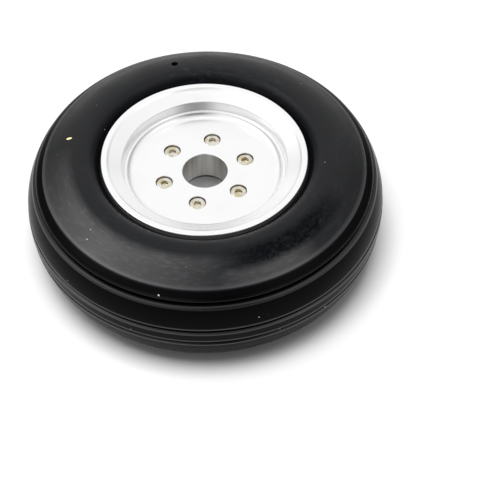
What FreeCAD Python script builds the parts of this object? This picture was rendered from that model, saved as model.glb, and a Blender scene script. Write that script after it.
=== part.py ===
import FreeCAD, Part
import math
import os

# Model-aircraft wheel: a hollow ribbed tyre clamped between two turned hub halves by six cap screws.
# Millimetres and degrees. Origin on the wheel axis in the tyre's middle plane, +Z out of the outer face.

# Overall
tyre_radius = 51.0
tyre_width = 36.0
lip_inset = 1.75            # the rim's lips stand this far inside the tyre's sides
lip_radius = 29.0

# Rim section, the same on both halves
lip_face_width = 1.6        # flat ring at the very edge
lip_step_width = 0.6        # small sloping step inside the flat ring
lip_step_depth = 0.4
flange_thickness = 2.0
flange_height = 4.4         # from the bead seat to the lip's edge
flare_width = 3.6           # sloping ring between the step and the dish
flare_depth = 2.0           # how far the sloping ring drops below the lip's face
bead_width = 4.0
bead_ridge_height = 0.8
bead_ridge_width = 1.0
barrel_step = 0.6           # the barrel's surface below the bead seat
barrel_taper = 0.6          # length of the ramp from the bead ridge to the barrel

# Outer half
outer_web_depth = 6.15      # from the outer lip's face to the web
outer_web_thickness = 5.0
dish_wall_draft = 0.4       # the dish's wall leans in by this much at its foot
dish_ledge_width = 0.75
dish_ledge_height = 1.15    # above the web
dish_slope_width = 0.75     # of the slope that falls from the ledge to the web
dish_fillet = 2.8
axle_bore_radius = 6.35
register_wall = 3.15        # round the axle bore, on the boss that centres the outer half

# Inner half
inner_web_thickness = 5.0
inner_wall_draft = 1.1      # over the length of the inner side's wall
inner_fillet = 2.4
bush_bore_radius = 7.5
boss_wall = 2.7
boss_setback = 0.25         # the boss ends this far inside the inner lip's face
register_floor = 0.25       # left under the centring boss, inside the inner half's boss

# Screws
screw_count = 6
screw_gap = 2.0             # from the inner half's boss to the screw circle
first_screw_angle = 21.4
screw_radius = 1.25
screw_tip_setback = 1.1     # the tips stop this far inside the inner web
head_radius = 2.25
head_height = 2.5
head_recess = 0.4           # top of the head below the web
socket_side_count = 6
socket_across_flats = 2.0
socket_depth = 1.3
socket_turn = 37.0          # each screw stops at its own angle

# Tyre section
sidewall_wall = 3.6
tread_wall = 4.4
foot_gap = 0.5              # the rubber leaves the flange this far outside the lip
crown_start = 0.16          # ends of the sidewall's crown, as shares of the way from lip to shoulder
crown_end = 0.57
foot_round = 4.0
crown_round = 15.0
shoulder_inset = 5.7        # from the tread's largest radius in to the shoulder line
shoulder_drop = 4.25        # from the tyre's side down to the shoulder line
shoulder_step = 0.4         # the sidewall ends in this small step
shoulder_turn_inset = 3.6
shoulder_turn_drop = 1.65
shoulder_turn_round = 4.0
tread_flat_share = 0.52     # height of the tread's rounding as a share of the shoulder turn's
tread_round = 21.0
cavity_toe_width = 0.5      # thickness of the bead's toe inside the foot
cavity_toe_round = 1.5
cavity_foot_round = 2.0
cavity_crown_round = 8.0
cavity_shoulder_round = 4.0
cavity_tread_round = 16.0

# Grooves and vent
groove_depth = 1.1
groove_floor_share = 0.6    # floor's width as a share of the mouth's
groove_floor_fullness = 0.8 # rounding of the floor as a share of its half width
rib_groove_height = 2.4     # of the two grooves beside the centre rib
rib_groove_width = 1.3
rib_round = 0.35
shoulder_groove_drop = 1.2  # from the shoulder turn down to the groove
shoulder_groove_width = 1.2
shoulder_rib_round = 0.8
mouth_sink = 0.06           # a groove's rounded mouth starts this far under the tread and runs out over it
vent_hole_radius = 1.0
vent_share = 0.49           # place of the vent hole between lip and shoulder
vent_angle = 105.0

# Clearances and small edge breaks
bead_clearance = 0.05
register_clearance = 0.05
counterbore_clearance = 0.2
shank_clearance = 0.15
thread_clearance = 0.03
edge_round = 0.3
fine_round = 0.15

# Radii worked out from the values above
lip_face_radius = lip_radius - lip_face_width
step_radius = lip_face_radius - lip_step_width
dish_mouth_radius = step_radius - flare_width
dish_wall_radius = dish_mouth_radius - dish_wall_draft
ledge_radius = dish_wall_radius - dish_ledge_width
web_flat_radius = ledge_radius - dish_slope_width
inner_wall_radius = dish_mouth_radius - inner_wall_draft
bead_seat_radius = lip_radius - flange_height
barrel_radius = bead_seat_radius - barrel_step
tyre_seat_radius = bead_seat_radius + bead_clearance
register_radius = axle_bore_radius + register_wall
boss_radius = bush_bore_radius + boss_wall
screw_circle_radius = boss_radius + screw_gap
shoulder_radius = tyre_radius - shoulder_inset
shoulder_turn_radius = tyre_radius - shoulder_turn_inset
sidewall_width = shoulder_radius - lip_radius
sidewall_foot_radius = lip_radius + foot_gap
crown_inner_radius = lip_radius + crown_start * sidewall_width
crown_outer_radius = lip_radius + crown_end * sidewall_width
vent_circle_radius = lip_radius + vent_share * sidewall_width

# Heights worked out from the values above
side_height = tyre_width / 2
lip_height = side_height - lip_inset
flange_back = lip_height - flange_thickness
bead_foot = flange_back - bead_width
ridge_top = bead_foot - bead_clearance
ridge_foot = ridge_top - bead_ridge_width
outer_web_face = lip_height - outer_web_depth
split_height = outer_web_face - outer_web_thickness
inner_web_face = split_height - inner_web_thickness
boss_end = boss_setback - lip_height
register_end = inner_web_face + register_floor
register_seat = register_end - register_clearance
head_seat = outer_web_face - head_recess - head_height
screw_tip = inner_web_face + screw_tip_setback
shoulder_height = side_height - shoulder_drop
shoulder_turn_height = shoulder_height - shoulder_turn_drop
tread_flat_height = tread_flat_share * shoulder_turn_height
shoulder_groove_height = shoulder_turn_height - shoulder_groove_drop

ORIGIN = FreeCAD.Vector(0, 0, 0)
AXIS = FreeCAD.Vector(0, 0, 1)
FULL_TURN = 360
SAME_POINT = 1e-6


def section_point(radius, height):
    return FreeCAD.Vector(radius, 0, height)


def half_angle(corners, index):
    """Half of the angle between the two legs that meet at a corner."""
    point = section_point(*corners[index][:2])
    to_before = section_point(*corners[index - 1][:2]) - point
    to_after = section_point(*corners[(index + 1) % len(corners)][:2]) - point
    return to_before.getAngle(to_after) / 2


def fitted_roundings(corners):
    """Each corner's rounding, reduced where two neighbours would need more than the leg between them."""
    count = len(corners)
    setbacks = [corners[i][2] / math.tan(half_angle(corners, i)) for i in range(count)]
    shares = []
    for index in range(count):
        following = (index + 1) % count
        leg = section_point(*corners[index][:2]).distanceToPoint(section_point(*corners[following][:2]))
        wanted = setbacks[index] + setbacks[following]
        shares.append(min(1, leg / wanted) if wanted > 0 else 1)
    return [corners[i][2] * min(shares[i - 1], shares[i]) for i in range(count)]


def corner_arc(corners, index, rounding):
    """Start, middle and end of the arc that rounds a corner."""
    point = section_point(*corners[index][:2])
    to_before = (section_point(*corners[index - 1][:2]) - point).normalize()
    to_after = (section_point(*corners[(index + 1) % len(corners)][:2]) - point).normalize()
    half = half_angle(corners, index)
    setback = rounding / math.tan(half)
    bulge = rounding / math.sin(half) - rounding
    middle = point + (to_before + to_after).normalize() * bulge
    return point + to_before * setback, middle, point + to_after * setback


def outline(corners):
    """Closed outline in the section's plane from (radius, height, rounding) corners."""
    roundings = fitted_roundings(corners)
    count = len(corners)
    arcs = [corner_arc(corners, index, roundings[index]) for index in range(count)]
    edges = []
    for index, (start, middle, end) in enumerate(arcs):
        if roundings[index] > 0:
            edges.append(Part.Arc(start, middle, end).toShape())
        next_start = arcs[(index + 1) % count][0]
        if end.distanceToPoint(next_start) > SAME_POINT:
            edges.append(Part.LineSegment(end, next_start).toShape())
    return Part.Wire(edges)


def revolved(section):
    return Part.Face(section).revolve(ORIGIN, AXIS, FULL_TURN)


def mirrored(corners):
    """The same corners below the middle plane, in reverse order."""
    return [(radius, -height, rounding) for radius, height, rounding in reversed(corners)]


def rim_corners():
    """Lip, flange, bead seat and ridge of one half, from the dish's mouth round to the barrel."""
    return [
        (dish_mouth_radius, lip_height - flare_depth, edge_round),
        (step_radius, lip_height - lip_step_depth, fine_round),
        (lip_face_radius, lip_height, fine_round),
        (lip_radius, lip_height, edge_round),
        (lip_radius, flange_back, edge_round),
        (bead_seat_radius, flange_back, fine_round),
        (bead_seat_radius, ridge_top, fine_round),
        (bead_seat_radius + bead_ridge_height, ridge_top, edge_round),
        (bead_seat_radius + bead_ridge_height, ridge_foot, edge_round),
        (barrel_radius, ridge_foot - barrel_taper, edge_round),
    ]


def screw_places():
    """Where the screws' axes stand, evenly round the screw circle."""
    angles = [math.radians(first_screw_angle + i * FULL_TURN / screw_count) for i in range(screw_count)]
    return [FreeCAD.Vector(math.cos(angle), math.sin(angle), 0) * screw_circle_radius for angle in angles]


def screw_cylinders(radius, bottom, top):
    """One upright cylinder at each screw."""
    return [Part.makeCylinder(radius, top - bottom, place + AXIS * bottom, AXIS) for place in screw_places()]


def make_outer_hub():
    """Visible half: dished face, lip, bead seat, and a boss that centres it in the inner half."""
    ledge = outer_web_face + dish_ledge_height
    hub = revolved(outline([
        (axle_bore_radius, register_end, edge_round),
        (axle_bore_radius, outer_web_face, edge_round),
        (web_flat_radius, outer_web_face, dish_fillet),
        (ledge_radius, ledge, fine_round),
        (dish_wall_radius, ledge, fine_round),
        *rim_corners(),
        (barrel_radius, split_height, fine_round),
        (register_radius, split_height, fine_round),
        (register_radius, register_end, edge_round),
    ]))
    counterbores = screw_cylinders(head_radius + counterbore_clearance, head_seat, lip_height)
    shank_holes = screw_cylinders(screw_radius + shank_clearance, register_end, lip_height)
    return hub.cut(counterbores + shank_holes)


def make_inner_hub():
    """Hidden half: deep dish with a central boss, bored for the axle bush, and six tapped holes."""
    seat_radius = register_radius + register_clearance
    hub = revolved(outline([
        (bush_bore_radius, boss_end, edge_round),
        (bush_bore_radius, register_seat, fine_round),
        (seat_radius, register_seat, fine_round),
        (seat_radius, split_height, edge_round),
        (barrel_radius, split_height, fine_round),
        *mirrored(rim_corners()),
        (inner_wall_radius, inner_web_face, inner_fillet),
        (boss_radius, inner_web_face, edge_round),
        (boss_radius, boss_end, edge_round),
    ]))
    return hub.cut(screw_cylinders(screw_radius + thread_clearance, boss_end, split_height))


def make_screw(index):
    """Socket-head cap screw with a hexagon socket and a broken top edge."""
    top = head_seat + head_height
    screw = revolved(outline([
        (0, screw_tip, 0),
        (screw_radius, screw_tip, fine_round),
        (screw_radius, head_seat, 0),
        (head_radius, head_seat, 0),
        (head_radius, top, edge_round),
        (0, top, 0),
    ]))
    corner_radius = socket_across_flats / 2 / math.cos(math.pi / socket_side_count)
    corner_angles = [2 * math.pi * corner / socket_side_count for corner in range(socket_side_count + 1)]
    corners = [
        FreeCAD.Vector(corner_radius * math.cos(angle), corner_radius * math.sin(angle), top - socket_depth)
        for angle in corner_angles
    ]
    socket = Part.Face(Part.makePolygon(corners)).extrude(AXIS * (socket_depth + head_recess))
    screw = screw.cut(socket)
    screw.rotate(ORIGIN, AXIS, index * socket_turn)
    screw.translate(screw_places()[index])
    return screw


def tyre_outside():
    """Upper half of the tyre's outside, from the bead to the middle of the tread."""
    return [
        (tyre_seat_radius, flange_back, edge_round),
        (sidewall_foot_radius, flange_back, edge_round),
        (crown_inner_radius, side_height, foot_round),
        (crown_outer_radius, side_height, crown_round),
        (shoulder_radius, shoulder_height, fine_round),
        (shoulder_radius + shoulder_step / 2, shoulder_height - shoulder_step, fine_round),
        (shoulder_turn_radius, shoulder_turn_height, shoulder_turn_round),
        (tyre_radius, tread_flat_height, tread_round),
    ]


def tyre_inside():
    """Upper half of the cavity, from the middle of the tread back to the bead."""
    crown = side_height - sidewall_wall
    return [
        (tyre_radius - tread_wall, tread_flat_height, cavity_tread_round),
        (shoulder_radius - sidewall_wall / 2, shoulder_height - sidewall_wall, cavity_shoulder_round),
        (crown_outer_radius, crown, cavity_crown_round),
        (crown_inner_radius, crown, cavity_foot_round),
        (sidewall_foot_radius - cavity_toe_width, bead_foot, cavity_toe_round),
        (tyre_seat_radius, bead_foot, edge_round),
    ]


def tread_frame(section, height):
    """Point on the section's outside at a height, with the outward normal and the direction up along it."""
    level = Part.makeLine(section_point(lip_radius, height), section_point(tyre_radius + tread_wall, height))
    crossings = [pair[0] for pair in section.distToShape(level)[1]]
    point = max(crossings, key=lambda crossing: crossing.x)
    edge = min(section.Edges, key=lambda side: side.distToShape(Part.Vertex(point))[0])
    along = edge.tangentAt(edge.Curve.parameter(point))
    if along.z < 0:
        along = -along
    return point, FreeCAD.Vector(along.z, 0, -along.x), along


def groove_side(section, height, width, rounding, side):
    """Upper (side 1) or lower (side -1) half of a groove's cutter, from over the tread down to the floor."""
    centre, outward, along = tread_frame(section, height)
    mouth, mouth_outward, mouth_along = tread_frame(section, height + side * along.z * width / 2)
    floor_half = width * groove_floor_share / 2
    rim = mouth + mouth_along * (side * groove_depth) + mouth_outward * mouth_sink
    points = [
        (rim + mouth_outward * groove_depth, 0),
        (rim, 0),
        (mouth - mouth_outward * mouth_sink, rounding),
        (centre - outward * groove_depth + along * (side * floor_half), floor_half * groove_floor_fullness),
    ]
    return [(point.x, point.z, corner_round) for point, corner_round in points]


def groove_ring(section, height, width, rounding):
    """Ring that cuts one groove round the tread: a slot with a rounded floor and a rounded, flaring mouth."""
    upper = groove_side(section, height, width, rounding, 1)
    lower = groove_side(section, height, width, rounding, -1)
    return revolved(outline(upper + lower[::-1]))


def make_tyre():
    """Hollow tyre: two beads, domed sidewalls, a crowned tread with four grooves and a vent hole."""
    upper = tyre_outside()
    cavity = tyre_inside()
    section = outline(upper + mirrored(upper) + mirrored(cavity) + cavity)
    grooves = [
        (shoulder_groove_height, shoulder_groove_width, shoulder_rib_round),
        (rib_groove_height, rib_groove_width, rib_round),
    ]
    grooves += [(-height, width, rounding) for height, width, rounding in grooves]
    tyre = revolved(section).cut([groove_ring(section, *groove) for groove in grooves])
    angle = math.radians(vent_angle)
    vent_base = FreeCAD.Vector(math.cos(angle), math.sin(angle), 0) * vent_circle_radius
    return tyre.cut(Part.makeCylinder(vent_hole_radius, tyre_width, vent_base, AXIS))


nodes = {"outer_hub": make_outer_hub(), "inner_hub": make_inner_hub(), "tyre": make_tyre()}
for index in range(screw_count):
    nodes[f"hub_screw_{index + 1}"] = make_screw(index)
os.makedirs("parts", exist_ok=True)
for name, shape in nodes.items():
    print(name, shape.isValid(), len(shape.Solids), round(shape.Volume, 1))
    shape.exportStep(f"parts/{name}.step")
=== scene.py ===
import math

import bmesh
import bpy
import numpy as np
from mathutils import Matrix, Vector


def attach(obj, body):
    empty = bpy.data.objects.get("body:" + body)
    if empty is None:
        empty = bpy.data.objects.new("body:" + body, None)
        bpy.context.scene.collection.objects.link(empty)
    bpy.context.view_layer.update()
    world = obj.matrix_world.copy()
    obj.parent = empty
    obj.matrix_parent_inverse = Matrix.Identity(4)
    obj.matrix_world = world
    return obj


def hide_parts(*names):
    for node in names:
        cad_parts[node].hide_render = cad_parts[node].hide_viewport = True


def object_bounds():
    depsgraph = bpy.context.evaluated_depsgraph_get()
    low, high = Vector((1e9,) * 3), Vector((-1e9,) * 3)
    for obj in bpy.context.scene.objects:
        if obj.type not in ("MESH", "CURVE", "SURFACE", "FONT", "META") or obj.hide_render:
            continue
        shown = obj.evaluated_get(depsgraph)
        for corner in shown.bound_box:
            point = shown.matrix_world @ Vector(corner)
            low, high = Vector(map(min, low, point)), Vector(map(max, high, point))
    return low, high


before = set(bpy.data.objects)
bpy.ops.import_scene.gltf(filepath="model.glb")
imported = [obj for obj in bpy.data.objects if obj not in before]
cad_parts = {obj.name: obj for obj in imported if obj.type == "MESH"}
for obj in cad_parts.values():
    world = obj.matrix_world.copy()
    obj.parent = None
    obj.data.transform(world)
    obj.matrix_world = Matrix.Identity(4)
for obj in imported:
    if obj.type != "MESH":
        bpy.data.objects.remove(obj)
cadLow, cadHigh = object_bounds()
mm = 0.001
fullTurn = 2 * math.pi
sharpAngle = 32  # degrees; edges that turn by more stay sharp
print("frame loaded")


def sectionCurve(corners, spacing, arcSpacing):
    # closed outline in (radius, height) from corners in mm: straight legs joined by tangent arcs. A corner is
    # cut back by rounding / tan(half its angle), and less where its leg is too short. Its arc is
    # centre + rounding * (cosine, sine) of an evenly swept angle. Long legs are divided evenly.
    points = np.array([corner[:2] for corner in corners], dtype=float)
    toBefore = np.roll(points, 1, 0) - points
    toAfter = np.roll(points, -1, 0) - points
    leg = np.linalg.norm(toAfter, axis=1)
    cosine = (toBefore * toAfter).sum(1) / leg / np.linalg.norm(toBefore, axis=1)
    halves = np.arccos(cosine) / 2
    cutBack = np.array([corner[2] for corner in corners]) / np.tan(halves)
    share = np.minimum(1, leg / np.maximum(cutBack + np.roll(cutBack, -1), 1e-9))
    share = np.minimum(share, np.roll(share, 1))
    pieces = []
    count = len(corners)
    for index, (radius, height, rounding) in enumerate(corners):
        rounding = rounding * share[index]
        corner = np.array([radius, height]) * mm
        if rounding == 0:
            pieces.append(corner[None])
            continue
        before = np.array(corners[index - 1][:2]) * mm - corner
        after = np.array(corners[(index + 1) % count][:2]) * mm - corner
        before /= np.linalg.norm(before)
        after /= np.linalg.norm(after)
        half = math.acos(before @ after) / 2
        inward = (before + after) / np.linalg.norm(before + after)
        centre = corner + inward * rounding * mm / math.sin(half)
        start = corner + before * rounding * mm / math.tan(half) - centre
        end = corner + after * rounding * mm / math.tan(half) - centre
        first = math.atan2(start[1], start[0])
        sweep = (math.atan2(end[1], end[0]) - first + math.pi) % fullTurn - math.pi
        steps = max(3, math.ceil(abs(sweep) * rounding / arcSpacing))
        angles = first + np.linspace(0, sweep, steps + 1)
        pieces.append(centre + rounding * mm * np.stack([np.cos(angles), np.sin(angles)], -1))
    loop = np.concatenate(pieces)
    step = np.roll(loop, -1, 0) - loop
    parts = np.maximum(1, np.ceil(np.hypot(step[:, 0], step[:, 1]) / (spacing * mm))).astype(int)
    part = np.arange(parts.sum()) - np.repeat(np.cumsum(parts) - parts, parts)
    return np.repeat(loop, parts, 0) + np.repeat(step / parts[:, None], parts, 0) * part[:, None]


def turnedGrid(section, turns):
    # surface of revolution on a grid of angle and place along the section, as angle, radius and height
    around = np.linspace(0, fullTurn, turns, endpoint=False)[:, None]
    radius, height = section[:, 0], section[:, 1]
    return around, radius[None] + 0 * around, height[None] + 0 * around


def gridMesh(name, around, radius, height, offset=(0, 0)):
    # a point is (radius * cosine, radius * sine, height) of its angle, moved by the offset. The grid is
    # joined both ways round, with faces outward whichever way the section runs.
    turns, points = radius.shape
    verts = np.stack([radius * np.cos(around) + offset[0], radius * np.sin(around) + offset[1], height], -1)
    u, v = np.meshgrid(np.arange(turns), np.arange(points), indexing="ij")
    a = u * points + v
    b = (u + 1) % turns * points + v
    c = (u + 1) % turns * points + (v + 1) % points
    d = u * points + (v + 1) % points
    r, z = radius[0], height[0]
    area = (r * np.roll(z, -1) - np.roll(r, -1) * z).sum()
    order = [a, b, c, d] if area > 0 else [a, d, c, b]
    mesh = bpy.data.meshes.new(name)
    mesh.from_pydata(verts.reshape(-1, 3), [], np.stack(order, -1).reshape(-1, 4).tolist())
    mesh.update()
    return mesh


def showMesh(name, mesh, material, nodes):
    # puts the mesh in the place of its solids, with its finish
    piece = bpy.data.objects.new(name, mesh)
    bpy.context.scene.collection.objects.link(piece)
    mesh.shade_smooth()
    mesh.set_sharp_from_angle(angle=math.radians(sharpAngle))
    mesh.materials.append(material)
    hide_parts(*nodes)
    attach(piece, "root")
    return piece


def cutAway(mesh, cutters):
    # takes the cutters out of the mesh, exactly, and gives the mesh that is left
    whole = bpy.data.objects.new("whole", mesh)
    tool = bpy.data.objects.new("tool", joinMeshes(cutters))
    for thing in (whole, tool):
        bpy.context.scene.collection.objects.link(thing)
    cut = whole.modifiers.new("cut", "BOOLEAN")
    cut.operation = "DIFFERENCE"
    cut.solver = "EXACT"
    cut.object = tool
    graph = bpy.context.evaluated_depsgraph_get()
    result = bpy.data.meshes.new_from_object(whole.evaluated_get(graph))
    for thing in (whole, tool):
        bpy.data.objects.remove(thing)
    return result


def joinMeshes(meshes):
    edit = bmesh.new()
    for mesh in meshes:
        edit.from_mesh(mesh)
    joinedMesh = bpy.data.meshes.new("joined")
    edit.to_mesh(joinedMesh)
    edit.free()
    return joinedMesh


def drillMesh(steps, x, y, turns=48):
    # closed stepped drill with a pole at each end, from its steps of (radius, height) up the axis
    section = np.array([(0, steps[0][1]), *steps, (0, steps[-1][1])]) * mm
    around, radii, heights = turnedGrid(section, turns)
    mesh = gridMesh("drill", around, radii, heights, (x * mm, y * mm))
    return closedPoles(mesh)


def closedPoles(mesh):
    # welds the rings of zero radius to single points
    weldDistance, tinyEdge = 1e-7, 1e-8  # in metres
    edit = bmesh.new()
    edit.from_mesh(mesh)
    bmesh.ops.remove_doubles(edit, verts=edit.verts, dist=weldDistance)
    bmesh.ops.dissolve_degenerate(edit, edges=edit.edges, dist=tinyEdge)
    edit.to_mesh(mesh)
    edit.free()
    return mesh


def newMaterial(name):
    material = bpy.data.materials.new(name)
    material.use_nodes = True
    return material, material.node_tree, material.node_tree.nodes["Principled BSDF"]


def addNode(tree, kind, values=None, **settings):
    node = tree.nodes.new(kind)
    for key, value in settings.items():
        setattr(node, key, value)
    for key, value in (values or {}).items():
        node.inputs[key].default_value = value
    return node


def feed(tree, value, socket):
    # sets a number or a colour on the socket, and links another node's output to it
    if isinstance(value, (int, float, tuple)):
        socket.default_value = value
    else:
        tree.links.new(value, socket)


def mathNode(tree, operation, *values):
    node = addNode(tree, "ShaderNodeMath", operation=operation)
    for index, value in enumerate(values):
        feed(tree, value, node.inputs[index])
    return node.outputs[0]


def times(tree, first, *others):
    # product of all the values
    for other in others:
        first = mathNode(tree, "MULTIPLY", first, other)
    return first


def most(tree, first, *others):
    # largest of all the values
    for other in others:
        first = mathNode(tree, "MAXIMUM", first, other)
    return first


def rampNode(tree, source, fromLow, fromHigh, toLow, toHigh):
    node = addNode(tree, "ShaderNodeMapRange", {1: fromLow, 2: fromHigh, 3: toLow, 4: toHigh})
    tree.links.new(source, node.inputs[0])
    return node.outputs[0]


def fadeIn(tree, length, start, end):
    # 0 up to start and 1 from end on, both in mm
    return rampNode(tree, length, start * mm, end * mm, 0, 1)


def fadeOut(tree, length, start, end):
    # 1 up to start and 0 from end on, both in mm
    return rampNode(tree, length, start * mm, end * mm, 1, 0)


def joined(tree, x, y, z):
    node = addNode(tree, "ShaderNodeCombineXYZ")
    for index, value in enumerate((x, y, z)):
        feed(tree, value, node.inputs[index])
    return node.outputs[0]


def ringCoordinates(tree):
    # object coordinates, then cosine and sine of the angle round the axle, radius and height
    position = addNode(tree, "ShaderNodeTexCoord").outputs["Object"]
    split = addNode(tree, "ShaderNodeSeparateXYZ")
    tree.links.new(position, split.inputs[0])
    x, y, height = split.outputs
    radius = mathNode(tree, "SQRT", mathNode(tree, "ADD", times(tree, x, x), times(tree, y, y)))
    safeRadius = most(tree, radius, 0.01 * mm)  # nothing is divided by zero on the axle
    cosine = mathNode(tree, "DIVIDE", x, safeRadius)
    sine = mathNode(tree, "DIVIDE", y, safeRadius)
    return position, cosine, sine, radius, height


def noiseNode(tree, vector, scale, detail, roughness):
    node = addNode(tree, "ShaderNodeTexNoise", {"Scale": scale, "Detail": detail, "Roughness": roughness})
    tree.links.new(vector, node.inputs["Vector"])
    return node.outputs["Fac"]


def patternNode(tree, vector, noise, ramp):
    # noise of (scale, detail, roughness), ramped from two of its levels to two values
    return rampNode(tree, noiseNode(tree, vector, *noise), *ramp)


def bumpNode(tree, height, strength, distance, below=None):
    node = addNode(tree, "ShaderNodeBump", {"Strength": strength, "Distance": distance})
    tree.links.new(height, node.inputs["Height"])
    if below is not None:
        tree.links.new(below, node.inputs["Normal"])
    return node.outputs["Normal"]


def mixColours(tree, share, first, second):
    node = addNode(tree, "ShaderNodeMix", data_type="RGBA")
    tree.links.new(share, node.inputs["Factor"])
    colourSockets = [socket for socket in node.inputs if socket.type == "RGBA"]
    for socket, value in zip(colourSockets, (first, second)):
        feed(tree, value, socket)
    return [socket for socket in node.outputs if socket.type == "RGBA"][0]


# A pattern is its noise as (scale, detail, roughness), then the two noise levels and the values they become.
# A pair of radii or heights in mm is where something starts to fade and where it has ended.
rubberFinish = {
    "colour": (0.0016, 0.0018, 0.0024, 1),
    "treadColour": (0.0005, 0.0005, 0.0007, 1),
    # the dust colour is dust on the scuffs, and also paints a sheen on the rubbed bands and a highlight along
    # the shoulder edge
    "dustSheenAndHighlightColour": (0.10, 0.105, 0.12, 1), "dustSheenAndHighlightShare": 0.25, "paintedShoulderHighlight": 0.25,
    "speckColour": (0.5, 0.47, 0.38, 1), "specks": ((620, 1, 0.5), (0.80, 0.84, 0, 1)),
    # one yellowish crumb: its middle and its reach in mm, and how softly it ends
    "crumbColour": (0.75, 0.62, 0.28, 1), "crumb": ((-38.2, 5.6), (0.75, 0.35), 0.2),
    "roughness": ((160, 4, 0.6), (0.3, 0.7, 0.33, 0.43)), "wornRoughness": 0.1, "treadRoughness": 0.25,
    "specular": 0.28, "treadSpecular": 0.05,
    "addedSpecular": {"ribEdges": 1.0, "wornAndPaintedSheen": 0.25, "rubbedAndPaintedSheen": 0.7, "shoulder": 0.35},
    # what is left of the gloss where the rubber is dull, and where shade is painted round the bead and in the
    # grooves, and low on the side that lies on the floor
    "dullAndShadeGloss": 0.08, "beadPaintedShade": 0.6, "undersideShare": 0.3, "undersideHeight": -8,
    "grain": (2400, 2, 0.5), "grainBump": (0.25, 0.04 * mm), "scuffBump": (0.4, 0.06 * mm),
    # scuffs are drawn out round the tyre: their scale along it, and the lines per metre across it
    "streakScale": (14, 1500), "streaks": ((1.0, 5, 0.65), (0.5, 0.72, 0, 1)),
    "patches": ((45, 3, 0.5), (0.5, 0.7, 0, 0.3)), "blotches": ((900, 3, 0.7), (0.35, 0.55, 0.6, 1)),
    # inner and outer radius, bearing and half spread of each rubbed part of the sidewall, whose sheen is
    # painted with more gloss and a lighter colour, and of its dull part
    "rubbedAndPaintedSheen": [(37.5, 46.0, 232, 56), (41.0, 46.0, -67, 22)], "rubbedSheenShare": 0.6,
    "dull": (36, 41.5, -53, 34),
    # how softly such a part ends inwards and outwards, and the share of its spread where it is full
    "bandFade": (1.2, 0.8, 0.4),
    # heights of the rounded rib edges that are rubbed bright, and how bright, and where this ends beside them
    "ribEdges": ((11.7, 0.2), (9.95, 0.75), (3.2, 0.7), (1.6, 0.6)), "ribEdgeWidth": (0.15, 0.6),
    # heights of the groove floors, where no light is given back, as painted shade
    "grooveFloors": ((10.85, 1), (2.4, 1)), "grooveWidth": (0.35, 0.65),
    "upperHalf": (0, 1), "beadEnd": (30.6, 32.2), "sideEnd": (45.25, 45.4), "treadStart": (45.3, 45.7),
    "shoulderStart": (44.3, 45.0), "shoulderEnd": (45.3, 45.5), "ribStart": (46.6, 46.9),
}


def nearNode(tree, position, middle, reach, soft):
    # 1 inside an ellipse round a place in mm, fading to 0 over soft times its size each way
    apart = addNode(tree, "ShaderNodeVectorMath", operation="SUBTRACT")
    tree.links.new(position, apart.inputs[0])
    apart.inputs[1].default_value = (middle[0] * mm, middle[1] * mm, 0)
    scaled = addNode(tree, "ShaderNodeVectorMath", operation="MULTIPLY")
    tree.links.new(apart.outputs[0], scaled.inputs[0])
    scaled.inputs[1].default_value = (1 / (reach[0] * mm), 1 / (reach[1] * mm), 0)
    length = addNode(tree, "ShaderNodeVectorMath", operation="LENGTH")
    tree.links.new(scaled.outputs[0], length.inputs[0])
    return rampNode(tree, length.outputs["Value"], 1 - soft, 1 + soft, 1, 0)


def bandNode(tree, ring, inner, outer, bearing, spread):
    # 1 along part of a ring, fading out at its sides and, by the cosine of the angle from its bearing, at
    # its ends
    cosine, sine, radius = ring
    innerFade, outerFade, fullShare = rubberFinish["bandFade"]
    across = times(tree, fadeIn(tree, radius, inner - innerFade, inner + innerFade),
                   fadeOut(tree, radius, outer - outerFade, outer + outerFade))
    turn = math.radians(bearing)
    along = mathNode(tree, "ADD", times(tree, cosine, math.cos(turn)), times(tree, sine, math.sin(turn)))
    end, full = math.cos(math.radians(spread)), math.cos(math.radians(spread * fullShare))
    return times(tree, across, rampNode(tree, along, end, full, 0, 1))


def ringsNode(tree, height, rings, fadeStart, fadeEnd):
    # each ring's strength near its height, fading to 0 beside it
    strengths = []
    for level, strength in rings:
        away = mathNode(tree, "ABSOLUTE", mathNode(tree, "SUBTRACT", height, level * mm))
        strengths.append(rampNode(tree, away, fadeStart * mm, fadeEnd * mm, strength, 0))
    return most(tree, *strengths)


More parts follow.
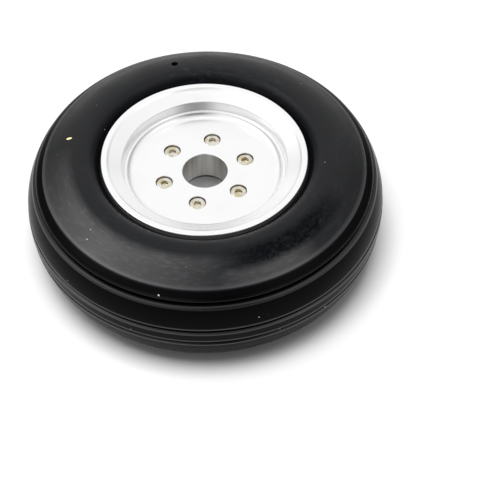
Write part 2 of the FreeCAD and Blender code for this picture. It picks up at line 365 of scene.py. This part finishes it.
def rubberZones(tree, position, cosine, sine, radius, height):
    # where the rubber is worn, rubbed with a painted sheen, dull or shaded, with a painted highlight along
    # the shoulder and painted shade round the bead and in the grooves: each zone is a value from 0 to 1 at
    # every point
    finish = rubberFinish
    ring = (cosine, sine, radius)
    upper = fadeIn(tree, height, *finish["upperHalf"])
    side = fadeOut(tree, radius, *finish["sideEnd"])
    tread = fadeIn(tree, radius, *finish["treadStart"])
    along, across = finish["streakScale"]
    around = joined(tree, times(tree, cosine, along), times(tree, sine, along), times(tree, radius, across))
    streaks = patternNode(tree, around, *finish["streaks"])
    patches = times(tree, patternNode(tree, position, *finish["patches"]), side)
    blotches = patternNode(tree, position, *finish["blotches"])
    # the rubbed bands lie where the sheen falls: partly rubbing, partly a painted sheen of more gloss and a
    # lighter colour
    rubbedAndPaintedSheen = most(tree, *[bandNode(tree, ring, *band) for band in finish["rubbedAndPaintedSheen"]])
    rubbedAndPaintedSheen = times(tree, rubbedAndPaintedSheen, side, upper)
    fromMiddle = mathNode(tree, "ABSOLUTE", height)
    ribEdges = ringsNode(tree, fromMiddle, finish["ribEdges"], *finish["ribEdgeWidth"])
    grooves = ringsNode(tree, fromMiddle, finish["grooveFloors"], *finish["grooveWidth"])
    return {
        "upper": upper,
        "tread": tread,
        "rubbedAndPaintedSheen": rubbedAndPaintedSheen,
        "wornAndPaintedSheen": times(tree, streaks, most(tree, patches, times(tree, rubbedAndPaintedSheen, finish["rubbedSheenShare"]))),
        "dull": times(tree, bandNode(tree, ring, *finish["dull"]), upper, blotches),
        # the ring by the bead, where gloss is taken away as painted shade
        "bead": fadeOut(tree, radius, *finish["beadEnd"]),
        # a painted highlight along the shoulder edge, lighter in colour and glossier
        "shoulder": times(tree, fadeIn(tree, radius, *finish["shoulderStart"]),
                          fadeOut(tree, radius, *finish["shoulderEnd"])),
        "ribEdges": times(tree, ribEdges, fadeIn(tree, radius, *finish["ribStart"])),
        "grooves": times(tree, grooves, tread),
    }


def rubberMaterial():
    # moulded rubber: fine grain, scuffs drawn out round the tyre with a painted sheen on the rubbed bands, a
    # painted highlight along the shoulder edge, painted shade round the bead and in the grooves, and a
    # blacker tread with rubbed rib edges
    finish = rubberFinish
    material, tree, shader = newMaterial("mouldedRubber")
    position, cosine, sine, radius, height = ringCoordinates(tree)
    zones = rubberZones(tree, position, cosine, sine, radius, height)
    wornAndPaintedSheen, tread = zones["wornAndPaintedSheen"], zones["tread"]

    dark = mixColours(tree, tread, finish["colour"], finish["treadColour"])
    # dust on the scuffs, the painted sheen of the rubbed bands, and a painted highlight along the shoulder
    # edge
    dustSheenAndHighlight = most(tree, wornAndPaintedSheen, times(tree, zones["shoulder"], finish["paintedShoulderHighlight"]))
    withDustSheenAndHighlight = mixColours(tree, times(tree, dustSheenAndHighlight, finish["dustSheenAndHighlightShare"]), dark, finish["dustSheenAndHighlightColour"])
    specks = patternNode(tree, position, *finish["specks"])
    specked = mixColours(tree, specks, withDustSheenAndHighlight, finish["speckColour"])
    crumb = times(tree, nearNode(tree, position, *finish["crumb"]), zones["upper"])
    tree.links.new(mixColours(tree, crumb, specked, finish["crumbColour"]), shader.inputs["Base Color"])

    roughness = patternNode(tree, position, *finish["roughness"])
    roughness = mathNode(tree, "ADD", roughness, times(tree, wornAndPaintedSheen, finish["wornRoughness"]))
    smoother = times(tree, tread, mathNode(tree, "SUBTRACT", roughness, finish["treadRoughness"]))
    tree.links.new(mathNode(tree, "SUBTRACT", roughness, smoother), shader.inputs["Roughness"])

    gloss = rampNode(tree, tread, 0, 1, finish["specular"], finish["treadSpecular"])
    for zone, added in finish["addedSpecular"].items():
        gloss = mathNode(tree, "ADD", gloss, times(tree, zones[zone], added))
    # gloss taken away where the rubber is dull, and as painted shade round the bead and in the groove floors
    dullAndShade = most(tree, times(tree, zones["bead"], finish["beadPaintedShade"]), zones["dull"], zones["grooves"])
    kept = rampNode(tree, dullAndShade, 0, 1, 1, finish["dullAndShadeGloss"])
    lit = rampNode(tree, height, finish["undersideHeight"] * mm, 0, finish["undersideShare"], 1)
    tree.links.new(times(tree, gloss, kept, lit), shader.inputs["Specular IOR Level"])

    grain = bumpNode(tree, noiseNode(tree, position, *finish["grain"]), *finish["grainBump"])
    tree.links.new(bumpNode(tree, wornAndPaintedSheen, *finish["scuffBump"], grain), shader.inputs["Normal"])
    return material


aluminiumFinish = {
    "colour": (0.96, 0.96, 0.965, 1),
    "stainColour": (0.91, 0.91, 0.91, 1), "stains": ((90, 4, 0.5), (0.5, 0.72, 0, 1)), "stainShare": 0.5,
    "metallic": 0.93, "anisotropy": 0.3,
    # the tool's rings: lines per metre, their noise, and what it does to the roughness and the surface
    "ringScale": 9000, "rings": (1.0, 3, 0.6), "roughness": (0.3, 0.7, 0.18, 0.27),
    "ringBump": (0.12, 0.02 * mm),
    # the bore is browner, with streaks along it, painted dark as shade under the step where the two halves
    # meet, and painted plain and less metallic lower down as the lit wall
    "boreColour": (0.97, 0.96, 0.93, 1), "streakColour": (0.72, 0.69, 0.63, 1),
    "streakScale": (5, 20), "streaks": ((1.0, 4, 0.6), (0.4, 0.62, 0, 1)),
    "stepShadeColour": (0.10, 0.10, 0.10, 1), "gapHeight": 0.4, "stepShadeWidth": (0.5, 1.0),
    # the lower bore is painted plain, without streaks or shade, and less metallic, as the wall lit through
    # the bore
    "boreWall": (7.55, 7.65), "boreMouth": (9.9, 10.0), "litLowBore": (-0.9, -0.5), "litLowBoreMetallic": 0.65,
}


def aluminiumMaterial():
    # turned aluminium: the tool's rings are noise of radius and height alone, so they run round the axle, and
    # the bore's streaks are mostly noise of the angle, so they run along it
    finish = aluminiumFinish
    material, tree, shader = newMaterial("turnedAluminium")
    position, cosine, sine, radius, height = ringCoordinates(tree)
    lines = finish["ringScale"]
    ringPlace = joined(tree, times(tree, radius, lines), times(tree, height, lines), 0)
    rings = noiseNode(tree, ringPlace, *finish["rings"])
    stains = times(tree, patternNode(tree, position, *finish["stains"]), finish["stainShare"])
    clean = mixColours(tree, stains, finish["colour"], finish["stainColour"])

    around, along = finish["streakScale"]
    wallPlace = joined(tree, times(tree, cosine, around), times(tree, sine, around),
                       times(tree, height, along))
    streaks = patternNode(tree, wallPlace, *finish["streaks"])
    bore = mixColours(tree, streaks, finish["boreColour"], finish["streakColour"])
    # painted shade on the bore under the step where the two halves meet
    fromGap = mathNode(tree, "ABSOLUTE", mathNode(tree, "SUBTRACT", height, finish["gapHeight"] * mm))
    bore = mixColours(tree, fadeOut(tree, fromGap, *finish["stepShadeWidth"]), bore, finish["stepShadeColour"])
    # below the step the bore is painted plain and lighter, as the wall lit through the bore
    low = fadeOut(tree, height, *finish["litLowBore"])
    bore = mixColours(tree, low, bore, finish["colour"])
    inBore = fadeOut(tree, radius, *finish["boreWall"])
    belowFace = fadeOut(tree, height, *finish["boreMouth"])
    tree.links.new(mixColours(tree, times(tree, inBore, belowFace), clean, bore), shader.inputs["Base Color"])

    tree.links.new(rampNode(tree, rings, *finish["roughness"]), shader.inputs["Roughness"])
    tree.links.new(bumpNode(tree, rings, *finish["ringBump"]), shader.inputs["Normal"])
    # less metallic low in the bore, part of its painted light
    metallic = rampNode(tree, times(tree, inBore, low), 0, 1, finish["metallic"], finish["litLowBoreMetallic"])
    tree.links.new(metallic, shader.inputs["Metallic"])
    shader.inputs["Anisotropic"].default_value = finish["anisotropy"]
    return material


screwFinish = {
    "colour": (0.86, 0.84, 0.79, 1),
    "oilColour": (0.70, 0.62, 0.42, 1), "oilFilm": ((700, 3, 0.5), (0.42, 0.6, 0, 1)),
    "roughness": ((2600, 2, 0.5), (0.3, 0.7, 0.18, 0.36)),
    "metallic": 1,
}


def screwMaterial():
    # bright steel with a thin yellowish film of oil in places
    finish = screwFinish
    material, tree, shader = newMaterial("brightScrewSteel")
    position = addNode(tree, "ShaderNodeTexCoord").outputs["Object"]
    film = patternNode(tree, position, *finish["oilFilm"])
    tree.links.new(mixColours(tree, film, finish["colour"], finish["oilColour"]), shader.inputs["Base Color"])
    tree.links.new(patternNode(tree, position, *finish["roughness"]), shader.inputs["Roughness"])
    shader.inputs["Metallic"].default_value = finish["metallic"]
    return material


rubber = rubberMaterial()
aluminium = aluminiumMaterial()
screwSteel = screwMaterial()
print("materials made")


# All lengths of the hub and the screws are in mm. Both halves have the same rim, the inner one upside down.
rim = {
    "lipRadius": 29.0, "lipFace": 1.6, "lipHeight": 16.25, "stepWidth": 0.6, "stepDepth": 0.4, "flange": 2.0,
    "flare": 2.0, "mouthRadius": 23.2, "seatRadius": 24.6, "beadWidth": 4.0, "beadPlay": 0.05,
    "ridge": 0.8, "ridgeWidth": 1.0, "barrelRadius": 24.0, "ramp": 0.6, "edge": 0.3, "fine": 0.15,
}


def rimCorners():
    # from the dish's mouth over the lip and down the outside to the barrel
    edge, fine, lip, seat = rim["edge"], rim["fine"], rim["lipHeight"], rim["seatRadius"]
    face = rim["lipRadius"] - rim["lipFace"]
    back = lip - rim["flange"]
    top = back - rim["beadWidth"] - rim["beadPlay"]
    foot = top - rim["ridgeWidth"]
    crest = seat + rim["ridge"]
    return [
        (rim["mouthRadius"], lip - rim["flare"], edge),
        (face - rim["stepWidth"], lip - rim["stepDepth"], fine), (face, lip, fine),
        (rim["lipRadius"], lip, edge), (rim["lipRadius"], back, edge),
        (seat, back, fine), (seat, top, fine), (crest, top, edge), (crest, foot, edge),
        (rim["barrelRadius"], foot - rim["ramp"], edge),
    ]


outerHub = {
    "boreRadius": 6.35, "boreFoot": 0.35, "web": 10.1, "split": 5.1, "registerRadius": 9.5,
    "wallFoot": 22.8, "ledge": 0.75, "ledgeHeight": 1.15, "fillet": 2.8, "flatRadius": 21.3,
    "shankClearance": 0.15, "headClearance": 0.2, "drillEnds": (3, 20),
    "legSpacing": 0.6, "arcSpacing": 0.06, "turns": 300,
}
innerHub = {
    "boreRadius": 7.5, "seat": 0.3, "seatRadius": 9.55, "split": 5.1, "web": 0.1,
    "wallFoot": 22.1, "fillet": 2.4, "bossRadius": 10.2, "bossEnd": -16.0,
    "threadClearance": 0.03, "drillEnds": (-10, 15),
    "legSpacing": 0.8, "arcSpacing": 0.06, "turns": 300,
}
# "turn" is how far each screw stands turned past the one before, in degrees
screws = {
    "count": 6, "circle": 12.2, "firstAngle": 21.4, "turn": 37.0, "radius": 1.25, "tip": 1.2, "seat": 7.2,
    "pitch": 0.45, "threadDepth": 0.26, "plainShank": 0.6, "threadStop": 0.3, "rowsPerPitch": 8,
    "headRadius": 2.25, "headTop": 9.7, "socketFlats": 2.0, "socketDepth": 1.3,
    # the socket: radius and height of its cone's points, and share of the flats and height of its hexagon's,
    # all from its floor, then how far below the face the hexagon ends, and the radii across the face
    "socketCone": [(0, -0.35), (0.45, -0.17)], "socketRows": [(0.97, 0), (1, 0.02), (1, 0.6)],
    "mouthDepth": 0.08, "faceRadii": (1.06, 1.25, 1.6),
    # how far in from the head's side, and down from its top, its rounded edge and its knurl run
    "headEdge": [(0.35, 0), (0.23, 0.02), (0.11, 0.08), (0.03, 0.17), (0, 0.3)], "headFoot": (0.05, 0.55),
    "knurls": 36, "knurlDepth": 0.05, "knurlEnds": (0.5, 0.06), "knurlRows": 6,
    # how far in from the shank's side, and up from its end, the tip's points are
    "tipPoints": [(0, 0.25), (0.2, 0), (0.65, 0), (1.25, 0)], "turns": 144,
}


def screwPlaces():
    # the screws' axes, evenly round their circle
    angles = np.radians(screws["firstAngle"] + np.arange(screws["count"]) * 360 / screws["count"])
    return list(zip(screws["circle"] * np.cos(angles), screws["circle"] * np.sin(angles)))


def turnedMesh(name, corners, sizes):
    section = sectionCurve(corners, sizes["legSpacing"], sizes["arcSpacing"])
    return gridMesh(name, *turnedGrid(section, sizes["turns"]))


def makeOuterHub():
    # up the bore, out over the web, up the dish, round the rim, and back in under the register
    edge, fine = rim["edge"], rim["fine"]
    ledge = outerHub["web"] + outerHub["ledgeHeight"]
    corners = [
        (outerHub["boreRadius"], outerHub["boreFoot"], edge), (outerHub["boreRadius"], outerHub["web"], edge),
        (outerHub["flatRadius"], outerHub["web"], outerHub["fillet"]),
        (outerHub["wallFoot"] - outerHub["ledge"], ledge, fine), (outerHub["wallFoot"], ledge, fine),
        *rimCorners(), (rim["barrelRadius"], outerHub["split"], fine),
        (outerHub["registerRadius"], outerHub["split"], fine),
        (outerHub["registerRadius"], outerHub["boreFoot"], edge),
    ]
    mesh = turnedMesh("outerHub", corners, outerHub)
    shank = screws["radius"] + outerHub["shankClearance"]
    head = screws["headRadius"] + outerHub["headClearance"]
    bottom, top = outerHub["drillEnds"]
    steps = [(shank, bottom), (shank, screws["seat"]), (head, screws["seat"]), (head, top)]
    drills = [drillMesh(steps, x, y) for x, y in screwPlaces()]
    return showMesh("outer_hub_turned", cutAway(mesh, drills), aluminium, ["outer_hub"])


def makeInnerHub():
    # up the bush bore, out over the register's seat, round the mirrored rim, and in over the web to the boss
    edge, fine = rim["edge"], rim["fine"]
    mirroredRim = [(radius, -height, rounding) for radius, height, rounding in reversed(rimCorners())]
    corners = [
        (innerHub["boreRadius"], innerHub["bossEnd"], edge), (innerHub["boreRadius"], innerHub["seat"], fine),
        (innerHub["seatRadius"], innerHub["seat"], fine), (innerHub["seatRadius"], innerHub["split"], edge),
        (rim["barrelRadius"], innerHub["split"], fine), *mirroredRim,
        (innerHub["wallFoot"], innerHub["web"], innerHub["fillet"]),
        (innerHub["bossRadius"], innerHub["web"], edge),
        (innerHub["bossRadius"], innerHub["bossEnd"], edge),
    ]
    mesh = turnedMesh("innerHub", corners, innerHub)
    tapped = screws["radius"] + innerHub["threadClearance"]
    steps = [(tapped, height) for height in innerHub["drillEnds"]]
    drills = [drillMesh(steps, x, y) for x, y in screwPlaces()]
    return showMesh("inner_hub_turned", cutAway(mesh, drills), aluminium, ["inner_hub"])


makeOuterHub()
makeInnerHub()
print("hub halves made")


def screwSection():
    # radius and height of the points from the socket's pole to the tip's, and the name of each one's stretch
    top, seat, tip = screws["headTop"], screws["seat"], screws["tip"]
    side, shank, flat = screws["headRadius"], screws["radius"], screws["socketFlats"] / 2
    floor = top - screws["socketDepth"]
    knurlTop, knurlFoot = screws["knurlEnds"]
    knurlRows = np.linspace(top - knurlTop, seat + knurlFoot, screws["knurlRows"])
    step = screws["pitch"] / screws["rowsPerPitch"]
    threadRows = np.arange(seat - screws["plainShank"], tip + screws["threadStop"], -step)
    stretches = {
        "cone": [(radius, floor + height) for radius, height in screws["socketCone"]],
        "hexagon": [(flat * share, floor + height) for share, height in screws["socketRows"]]
                   + [(flat, top - screws["mouthDepth"])],
        "face": [(radius, top) for radius in screws["faceRadii"]],
        "edge": [(side - inward, top - down) for inward, down in screws["headEdge"]],
        "knurl": [(side, height) for height in knurlRows],
        "foot": [(side - inward, seat) for inward in screws["headFoot"]] + [(shank, seat)],
        "thread": [(shank, height) for height in threadRows],
        "tip": [(shank - inward, tip + height) for inward, height in screws["tipPoints"]],
    }
    points = np.concatenate([np.array(points) for points in stretches.values()])
    names = np.concatenate([[name] * len(points) for name, points in stretches.items()])
    return points[:, 0][None], points[:, 1][None], names[None]


def makeScrew(index, x, y):
    # a turned surface, but in the socket the radius is that of a flat over the cosine of the angle from the
    # nearest flat, the knurl takes a little off every other strip of the head, and the thread's depth is a
    # triangle wave of height / pitch + the share of a turn
    radius, height, names = screwSection()
    turns = screws["turns"]
    around = np.linspace(0, fullTurn, turns, endpoint=False)[:, None]
    sixth = fullTurn / 6
    fromFlat = (around + sixth / 2) % sixth - sixth / 2
    strip = turns // screws["knurls"]
    phase = (height / screws["pitch"] + around / fullTurn) % 1
    grid = radius / np.where(names == "hexagon", np.cos(fromFlat), 1)
    grid = grid - (names == "thread") * screws["threadDepth"] * np.abs(phase - 0.5) * 2
    grid = grid - (names == "knurl") * screws["knurlDepth"] * (np.arange(turns)[:, None] % strip < strip / 2)
    turn = math.radians(index * screws["turn"])
    mesh = gridMesh("screw", around + turn, grid * mm, height * mm + 0 * grid, (x * mm, y * mm))
    name = f"hub_screw_{index + 1}"
    return showMesh(name + "_threaded", closedPoles(mesh), screwSteel, [name])


for index, (x, y) in enumerate(screwPlaces()):
    makeScrew(index, x, y)
print("screws made")


# Lengths are in mm, and roundings in the order of their corners.
tyre = {
    "radius": 51.0, "crown": 18.0, "beadRadius": 24.65, "beadTop": 14.25, "beadFoot": 10.25,
    "footRadius": 29.5, "crownInner": 31.6, "crownOuter": 38.3, "shoulderRadius": 45.3,
    "shoulderHeight": 13.75, "shoulderStep": 0.4, "stepWidth": 0.2, "turnRadius": 47.4, "turnHeight": 12.1,
    "treadTurn": 6.3,
    "outsideRounds": (0.3, 0.35, 4.0, 15.0, 0.15, 0.15, 4.0, 21.0),
    "wall": 3.6, "treadWall": 4.4, "footInset": 0.5, "insideRounds": (16.0, 4.0, 8.0, 2.0, 1.5, 0.3),
    # height of the middle, width, and rounding of the edge away from the tyre's middle and the one towards it
    "grooves": [(10.9, 1.2, 0.7, 0.9), (2.4, 1.3, 0.4, 0.4), (-2.4, 1.3, 0.4, 0.4), (-10.9, 1.2, 0.9, 0.7)],
    "grooveDepth": 1.1, "grooveSlope": 0.35,
    "ventRadius": 1.0, "ventCircle": 37.0, "ventAngle": 105.0, "ventEnds": (5, 25), "ventTurns": 32,
    # the section's points stand close for the ribs. Every third is kept on the sidewalls and every eighth in
    # the hollow, which is told apart by its distance from the middle of the section and by its height.
    "spacing": 0.16, "turns": 252, "sectionMiddle": 29.0, "treadReach": 19.0, "treadFrom": 46.8,
    "hollowReach": 18.6, "hollowHeight": 14.45, "hollowFrom": 25.0, "sidewallEnd": 45.0,
    "keptEvery": {"hollow": 8, "sidewall": 3, "ribs": 1},
}


def tyreCorners():
    # the outside from the upper bead over the crown to the tread, the hollow from the tread back to the bead,
    # and the lower half as their mirror
    shoulder, step, wall = tyre["shoulderRadius"], tyre["shoulderHeight"], tyre["wall"]
    inner = tyre["crown"] - wall
    outside = [
        (tyre["beadRadius"], tyre["beadTop"]), (tyre["footRadius"], tyre["beadTop"]),
        (tyre["crownInner"], tyre["crown"]), (tyre["crownOuter"], tyre["crown"]), (shoulder, step),
        (shoulder + tyre["stepWidth"], step - tyre["shoulderStep"]), (tyre["turnRadius"], tyre["turnHeight"]),
        (tyre["radius"], tyre["treadTurn"]),
    ]
    inside = [
        (tyre["radius"] - tyre["treadWall"], tyre["treadTurn"]), (shoulder - wall / 2, step - wall),
        (tyre["crownOuter"], inner), (tyre["crownInner"], inner),
        (tyre["footRadius"] - tyre["footInset"], tyre["beadFoot"]), (tyre["beadRadius"], tyre["beadFoot"]),
    ]
    outside = [(*corner, rounding) for corner, rounding in zip(outside, tyre["outsideRounds"])]
    inside = [(*corner, rounding) for corner, rounding in zip(inside, tyre["insideRounds"])]
    lower = [(radius, -height, rounding) for radius, height, rounding in reversed(outside)]
    lowerInside = [(radius, -height, rounding) for radius, height, rounding in reversed(inside)]
    return outside + lower + lowerInside + inside


def smoothStep(share):
    # share squared times (3 - twice the share), held between 0 and 1
    share = np.clip(share, 0, 1)
    return share * share * (3 - 2 * share)


def grooved(section, onTread):
    # sinks each groove along the section's normal by depth * smoothStep of the distance from its middle,
    # measured along the surface
    step = np.roll(section, -1, 0) - section
    along = np.concatenate([[0], np.cumsum(np.hypot(step[:, 0], step[:, 1]))[:-1]]) / mm
    across = np.roll(section, -1, 0) - np.roll(section, 1, 0)
    normal = np.stack([across[:, 1], -across[:, 0]], -1) / np.linalg.norm(across, axis=1)[:, None]
    depth = np.zeros(len(section))
    for height, width, outerRound, innerRound in tyre["grooves"]:
        middle = along[onTread][np.argmin(np.abs(section[onTread, 1] / mm - height))]
        offset = along - middle
        mouth = np.where(offset * height > 0, innerRound, outerRound)
        share = (width / 2 + mouth / 2 - np.abs(offset)) / (mouth + tyre["grooveSlope"])
        depth = np.maximum(depth, tyre["grooveDepth"] * smoothStep(share))
    outward = np.sign((normal * section).sum(1))[:, None]
    return section - normal * outward * (depth * onTread * mm)[:, None]


def makeTyre():
    curve = sectionCurve(tyreCorners(), tyre["spacing"], tyre["spacing"])
    radius, height = curve.T / mm
    reach = np.hypot(radius - tyre["sectionMiddle"], height)
    onTread = (reach > tyre["treadReach"]) & (radius > tyre["treadFrom"])
    hollow = (reach < tyre["hollowReach"]) & (np.abs(height) < tyre["hollowHeight"])
    hollow = hollow & (radius > tyre["hollowFrom"]) & ~onTread
    kept = tyre["keptEvery"]
    outside = np.where(radius < tyre["sidewallEnd"], kept["sidewall"], kept["ribs"])
    every = np.where(hollow, kept["hollow"], outside)
    section = grooved(curve, onTread)[np.arange(len(curve)) % every == 0]
    mesh = gridMesh("tyre", *turnedGrid(section, tyre["turns"]))
    angle = math.radians(tyre["ventAngle"])
    steps = [(tyre["ventRadius"], end) for end in tyre["ventEnds"]]
    circle = tyre["ventCircle"]
    vent = drillMesh(steps, circle * math.cos(angle), circle * math.sin(angle), tyre["ventTurns"])
    return showMesh("tyre_moulded", cutAway(mesh, [vent]), rubber, ["tyre"])


makeTyre()
print("tyre made")


# floor, light and camera, in metres
studio = {
    # to the camera alone, the floor goes from seenFloor to farFloor between two distances from the wheel
    "floorSize": 6.0, "floorColour": 0.4, "seenFloor": 0.5, "farFloor": 1.6, "farFrom": (0.1, 0.5),
    "skyLevel": 0.92, "seenSky": 1.0, "lowEdge": (0.05, 0.6), "lowLevel": 0.08,
    # the dark room on the near side: its middle, how quickly it ends sideways, its cosines from pale to
    # dark, and those of the dimmer ceiling round it
    "roomBearing": 12.0, "roomElevation": 17.5, "roomSides": 2.6, "roomEdge": (0.7, 1.0), "roomLevel": 0.05,
    "dimEdge": (0.35, 0.85), "dimLevel": 0.35,
    # the pale wall behind: its direction and its cosines, and the levels at the far left and far right
    "wall": (0, 0.96, 0.28), "wallEdge": (0.6, 0.9), "sideLevels": (1.08, 0.88),
    # soft lamps: direction, cosines of the outer and inner edge, strength
    "lamps": [((-0.62, 0.03, 0.78), (0.93, 0.99), 2.6), ((0.53, -0.14, 0.84), (0.96, 0.995), 1.5)],
    "overhead": {"position": (-0.06, -0.17, 0.88), "aim": (0, 0, 0), "size": (0.42, 0.42), "power": 13.5},
    "aim": (0.01277, -0.0339), "distance": 0.3425, "elevation": 51.15, "lens": 93.6, "sensor": 36,
    "clip": (0.01, 50),
}


def makeFloor():
    half = studio["floorSize"] / 2
    level = cadLow[2]
    mesh = bpy.data.meshes.new("floor")
    corners = [(-half, -half, level), (half, -half, level), (half, half, level), (-half, half, level)]
    mesh.from_pydata(corners, [], [(0, 1, 2, 3)])
    floor = bpy.data.objects.new("floor", mesh)
    bpy.context.scene.collection.objects.link(floor)
    material, tree, shader = newMaterial("paleFloor")
    tree.nodes.remove(shader)
    paper = addNode(tree, "ShaderNodeBsdfDiffuse")
    rays = addNode(tree, "ShaderNodeLightPath")
    away = addNode(tree, "ShaderNodeVectorMath", operation="LENGTH")
    tree.links.new(addNode(tree, "ShaderNodeTexCoord").outputs["Object"], away.inputs[0])
    seen = rampNode(tree, away.outputs["Value"], *studio["farFrom"], studio["seenFloor"], studio["farFloor"])
    paler = mathNode(tree, "SUBTRACT", seen, studio["floorColour"])
    shade = mathNode(tree, "ADD", times(tree, paler, rays.outputs["Is Camera Ray"]), studio["floorColour"])
    tree.links.new(joined(tree, shade, shade, shade), paper.inputs["Color"])
    tree.links.new(paper.outputs[0], tree.nodes["Material Output"].inputs["Surface"])
    mesh.materials.append(material)


def towardsNode(tree, direction, towards):
    # cosine of the angle between a ray and a direction
    node = addNode(tree, "ShaderNodeVectorMath", operation="DOT_PRODUCT")
    tree.links.new(direction, node.inputs[0])
    node.inputs[1].default_value = towards
    return node.outputs["Value"]


def makeSky():
    # pale overhead and behind, dimmer low down, with a dark room on the near side and two soft lamps
    world = bpy.data.worlds.new("studio")
    bpy.context.scene.world = world
    world.use_nodes = True
    tree = world.node_tree
    direction = addNode(tree, "ShaderNodeTexCoord").outputs["Generated"]
    bearing, lift = math.radians(studio["roomBearing"]), math.radians(studio["roomElevation"])
    room = (math.sin(bearing) * math.cos(lift), -math.cos(bearing) * math.cos(lift), math.sin(lift))
    # cosine from the room's middle, less a share of the square of the way to the side
    side = towardsNode(tree, direction, (math.cos(bearing), math.sin(bearing), 0))
    narrowed = times(tree, side, side, studio["roomSides"])
    nearRoom = mathNode(tree, "SUBTRACT", towardsNode(tree, direction, room), narrowed)
    dark = times(tree, rampNode(tree, nearRoom, *studio["roomEdge"], 1, studio["roomLevel"]),
                 rampNode(tree, nearRoom, *studio["dimEdge"], 1, studio["dimLevel"]))
    up = towardsNode(tree, direction, (0, 0, 1))
    high = rampNode(tree, up, *studio["lowEdge"], studio["lowLevel"], 1)
    wall = rampNode(tree, towardsNode(tree, direction, studio["wall"]), *studio["wallEdge"], 0, 1)
    sideways = rampNode(tree, towardsNode(tree, direction, (1, 0, 0)), -1, 1, *studio["sideLevels"])
    level = times(tree, most(tree, high, wall), dark, sideways, studio["skyLevel"])
    for towards, edges, strength in studio["lamps"]:
        lamp = rampNode(tree, towardsNode(tree, direction, towards), *edges, 0, strength)
        level = most(tree, level, lamp)
    rays = addNode(tree, "ShaderNodeLightPath")
    seen = times(tree, rays.outputs["Is Camera Ray"], studio["seenSky"])
    background = tree.nodes["Background"]
    tree.links.new(most(tree, level, seen), background.inputs["Strength"])
    background.inputs["Color"].default_value = (1, 1, 1, 1)


def addLamp(name, position, aim, size, power):
    # a soft panel that faces its aim
    lamp = bpy.data.lights.new(name, "AREA")
    lamp.shape = "RECTANGLE"
    lamp.size, lamp.size_y = size
    lamp.energy = power
    holder = bpy.data.objects.new(name, lamp)
    holder.location = position
    towards = np.array(aim) - np.array(position)
    flat = math.hypot(towards[0], towards[1])
    holder.rotation_euler = (math.atan2(flat, -towards[2]), 0, math.atan2(-towards[0], towards[1]))
    holder.visible_glossy = False  # lights the floor and sides, without a bright patch in the metal
    bpy.context.scene.collection.objects.link(holder)


def makeCamera():
    # looks down at a point level with the hub's lip
    camera = bpy.data.cameras.new("camera")
    camera.lens = studio["lens"]
    camera.sensor_width = studio["sensor"]
    camera.clip_start, camera.clip_end = studio["clip"]
    holder = bpy.data.objects.new("camera", camera)
    elevation = math.radians(studio["elevation"])
    aimX, aimY = studio["aim"]
    holder.location = (aimX, aimY - studio["distance"] * math.cos(elevation),
                       rim["lipHeight"] * mm + studio["distance"] * math.sin(elevation))
    holder.rotation_euler = (math.pi / 2 - elevation, 0, 0)
    bpy.context.scene.collection.objects.link(holder)
    bpy.context.scene.camera = holder


makeFloor()
makeSky()
addLamp("overhead", **studio["overhead"])
makeCamera()
bpy.context.scene.view_settings.view_transform = "Standard"
print("studio made")
